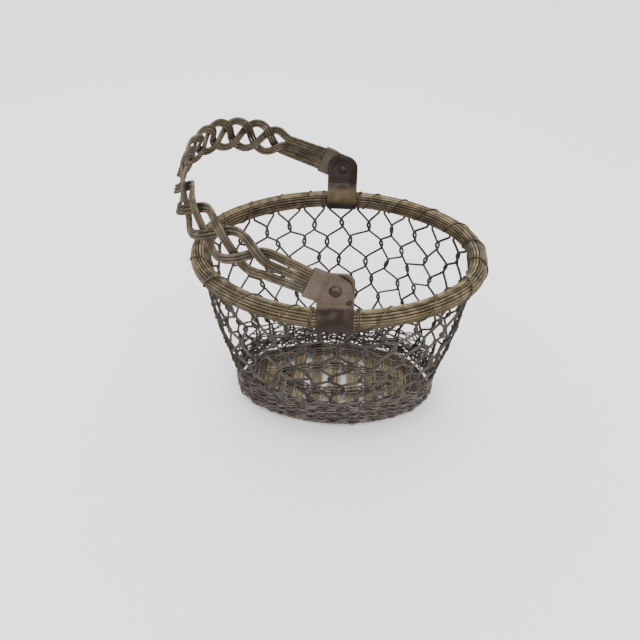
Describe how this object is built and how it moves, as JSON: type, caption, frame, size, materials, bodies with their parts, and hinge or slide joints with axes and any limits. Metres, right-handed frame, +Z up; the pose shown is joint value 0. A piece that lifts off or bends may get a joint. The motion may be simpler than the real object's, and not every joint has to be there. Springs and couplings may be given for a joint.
{
  "type": "wire egg basket",
  "caption": "Oval egg collection basket of hexagonal wire netting with a bundled wire rim, a woven wire base and a plaited swing handle.",
  "frame": {"origin": "centre of the face the basket stands on", "axes": "+Z up, +X along the long axis of the oval with the handle leaning towards -X at rest, -Y towards the front clip"},
  "size_m": [0.2539, 0.2032, 0.2486],
  "materials": {
    "rim_wire": "weathered drawn wire with brassy highlights",
    "rim_core": "dark weathered iron",
    "binding_wire": "thin dark iron wire",
    "netting_wire": "dark grey iron wire",
    "border_wire": "dull dark iron wire",
    "floor_wire": "drawn wire with a golden tone",
    "handle_wire": "rubbed drawn wire",
    "rivet": "dark iron rivet",
    "sheet_iron": "aged sheet iron"
  },
  "bodies": {
    "basket": {"back_clip": "sheet_iron", "back_clip_rivet": "rivet", "back_pivot_rivet": "rivet", "back_pivot_washer": "sheet_iron", "border_row_1": "border_wire", "border_row_2": "border_wire", "border_row_3": "border_wire", "border_row_4": "border_wire", "border_row_5": "border_wire", "end_stakes_left": "floor_wire", "end_stakes_right": "floor_wire", "floor_stake_group_1": "floor_wire", "floor_stake_group_2": "floor_wire", "floor_stake_group_3": "floor_wire", "floor_stake_group_4": "floor_wire", "floor_stake_group_5": "floor_wire", "floor_stake_group_6": "floor_wire", "floor_stake_group_7": "floor_wire", "floor_stake_group_8": "floor_wire", "floor_stake_group_9": "floor_wire", "floor_weaver_inner": "floor_wire", "floor_weaver_outer": "floor_wire", "foot_border": "border_wire", "front_clip": "sheet_iron", "front_clip_rivet": "rivet", "front_pivot_rivet": "rivet", "front_pivot_washer": "sheet_iron", "netting_wall": "netting_wire", "rim_binding_left": "binding_wire", "rim_binding_right": "binding_wire", "rim_core_hoop": "rim_core", "rim_wire_01": "rim_wire", "rim_wire_02": "rim_wire", "rim_wire_03": "rim_wire", "rim_wire_04": "rim_wire", "rim_wire_05": "rim_wire", "rim_wire_06": "rim_wire", "rim_wire_07": "rim_wire", "rim_wire_08": "rim_wire", "rim_wire_09": "rim_wire", "rim_wire_10": "rim_wire", "rim_wire_11": "rim_wire", "rim_wire_12": "rim_wire", "rim_wire_13": "rim_wire", "rim_wire_14": "rim_wire", "rim_wire_15": "rim_wire", "rim_wire_16": "rim_wire", "rim_wire_17": "rim_wire", "rim_wire_18": "rim_wire"},
    "handle": {"back_ferrule": "sheet_iron", "front_ferrule": "sheet_iron", "handle_strand_1_wire_1": "handle_wire", "handle_strand_1_wire_2": "handle_wire", "handle_strand_1_wire_3": "handle_wire", "handle_strand_2_wire_1": "handle_wire", "handle_strand_2_wire_2": "handle_wire", "handle_strand_2_wire_3": "handle_wire", "handle_strand_3_wire_1": "handle_wire", "handle_strand_3_wire_2": "handle_wire", "handle_strand_3_wire_3": "handle_wire"}
  },
  "joints": [
    {"name": "handle_swing", "type": "hinge", "parent": "basket", "child": "handle", "pos_m": [0, 0, 0.185], "axis": [0, 1, 0], "range_deg": [-23, 159]}
  ]
}
